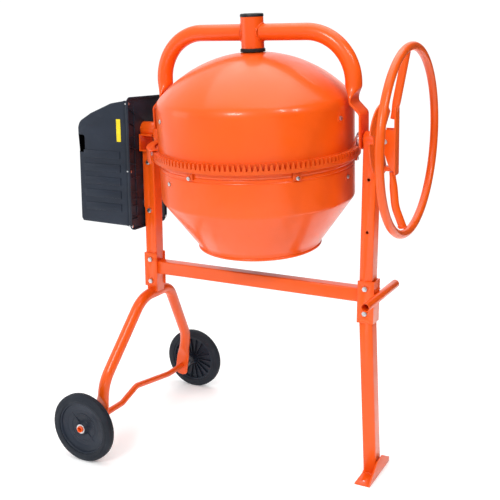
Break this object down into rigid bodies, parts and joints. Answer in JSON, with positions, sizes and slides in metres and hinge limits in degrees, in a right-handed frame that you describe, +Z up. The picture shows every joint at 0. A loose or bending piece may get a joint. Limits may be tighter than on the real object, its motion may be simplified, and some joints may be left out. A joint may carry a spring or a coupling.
{
  "type": "concrete mixer",
  "caption": "Tip-up concrete mixer: belt-driven drum with ring gear and tilting yoke, hand wheel with tilt lock, motor box, tube stand with transport wheels.",
  "frame": {"origin": "on the ground under the middle of the machine's bounding box", "axes": "+X from the motor box to the hand wheel, +Y away from the user, +Z up"},
  "size_m": [1.0868, 0.71, 1.3589],
  "materials": {
    "orange_paint": "glossy powder coat",
    "gear_paint": "painted casting, satin",
    "zinc": "zinc plated",
    "steel": "turned steel",
    "cast_iron": "cast, oiled",
    "motor_alloy": "cast aluminium",
    "dark_plastic": "moulded, fine grain",
    "black_plastic": "moulded, satin",
    "rubber": "soft rubber",
    "tyre_rubber": "solid rubber tyre",
    "yellow_film": "plain printed film",
    "green_plastic": "moulded",
    "red_plastic": "moulded"
  },
  "bodies": {
    "root": {"left_post": "orange_paint", "right_post": "orange_paint", "leg": "orange_paint", "foot": "orange_paint", "cross_beam": "orange_paint", "left_beam_bracket": "orange_paint", "right_beam_bracket": "orange_paint", "lift_handle": "orange_paint", "frame_bolts": "zinc", "wheel_frame": "orange_paint", "axle": "orange_paint", "wheel_spacers": "zinc", "wheel_washers": "zinc", "left_cradle": "orange_paint", "left_bearing_housing": "orange_paint", "right_bearing_housing": "orange_paint", "lock_plate": "orange_paint", "motor_plate": "orange_paint", "motor_body": "motor_alloy", "drive_belt": "rubber", "box_inner_shell": "dark_plastic", "box_outer_cover": "dark_plastic", "box_screws": "zinc", "switch_housing": "dark_plastic", "power_inlet": "black_plastic", "label_strip": "yellow_film"},
    "yoke": {"yoke_left_arm": "orange_paint", "yoke_right_arm": "orange_paint", "yoke_boss": "orange_paint", "drum_bearings": "steel", "boss_cap": "black_plastic", "shaft_seal": "rubber", "left_trunnion": "steel", "pinion_bearings": "steel", "right_trunnion": "steel", "gear_guard": "orange_paint", "hub_pin": "zinc"},
    "drum": {"drum_upper_shell": "orange_paint", "drum_lower_shell": "orange_paint", "ring_gear": "gear_paint", "drum_shaft": "steel", "shaft_nut": "zinc", "mixing_blades": "orange_paint", "drum_bolts": "zinc"},
    "pinion": {"pinion": "cast_iron", "pinion_shaft": "steel", "large_pulley": "cast_iron"},
    "rotor": {"motor_shaft": "steel"},
    "hand_wheel": {"wheel_rim": "orange_paint", "wheel_spokes": "orange_paint", "wheel_hub": "orange_paint", "lock_tooth": "orange_paint", "lock_spring": "steel"},
    "front_wheel": {"front_wheel_disc": "dark_plastic", "front_tyre": "tyre_rubber"},
    "rear_wheel": {"rear_wheel_disc": "dark_plastic", "rear_tyre": "tyre_rubber"},
    "start_button": {"start_button": "green_plastic"},
    "stop_button": {"stop_button": "red_plastic"}
  },
  "joints": [
    {"name": "drum_tilt", "type": "hinge", "parent": "root", "child": "yoke", "pos_m": [0.0625, 0, 1.008], "axis": [1, 0, 0], "range_deg": [-150, 150]},
    {"name": "drum_spin", "type": "hinge", "parent": "yoke", "child": "drum", "pos_m": [0.0625, 0, 1.008], "axis": [0, -0.0811, 0.9967], "continuous": true},
    {"name": "pinion_spin", "type": "hinge", "parent": "yoke", "child": "pinion", "pos_m": [0.0625, 0, 1.008], "axis": [1, 0, 0], "continuous": true},
    {"name": "motor_spin", "type": "hinge", "parent": "root", "child": "rotor", "pos_m": [-0.35, 0.027, 0.8], "axis": [1, 0, 0], "continuous": true},
    {"name": "wheel_rock", "type": "hinge", "parent": "yoke", "child": "hand_wheel", "pos_m": [0.4675, 0, 1.008], "axis": [0, -0.9967, -0.0811], "range_deg": [0, 5], "stiffness_Nm_per_rad": 120, "springref_deg": -2.86},
    {"name": "front_wheel_spin", "type": "hinge", "parent": "root", "child": "front_wheel", "pos_m": [-0.3715, -0.334, 0.11], "axis": [0, 1, 0], "continuous": true},
    {"name": "rear_wheel_spin", "type": "hinge", "parent": "root", "child": "rear_wheel", "pos_m": [-0.3715, 0.334, 0.11], "axis": [0, 1, 0], "continuous": true},
    {"name": "start_press", "type": "slide", "parent": "root", "child": "start_button", "axis": [1, 0, 0], "range_m": [0, 0.003], "stiffness_N_per_m": 1000},
    {"name": "stop_press", "type": "slide", "parent": "root", "child": "stop_button", "axis": [1, 0, 0], "range_m": [0, 0.003], "stiffness_N_per_m": 1000}
  ],
  "couplings": [
    {"joint": "pinion_spin", "follows": "drum_spin", "ratio": -9.4286},
    {"joint": "motor_spin", "follows": "drum_spin", "ratio": -84.857}
  ]
}
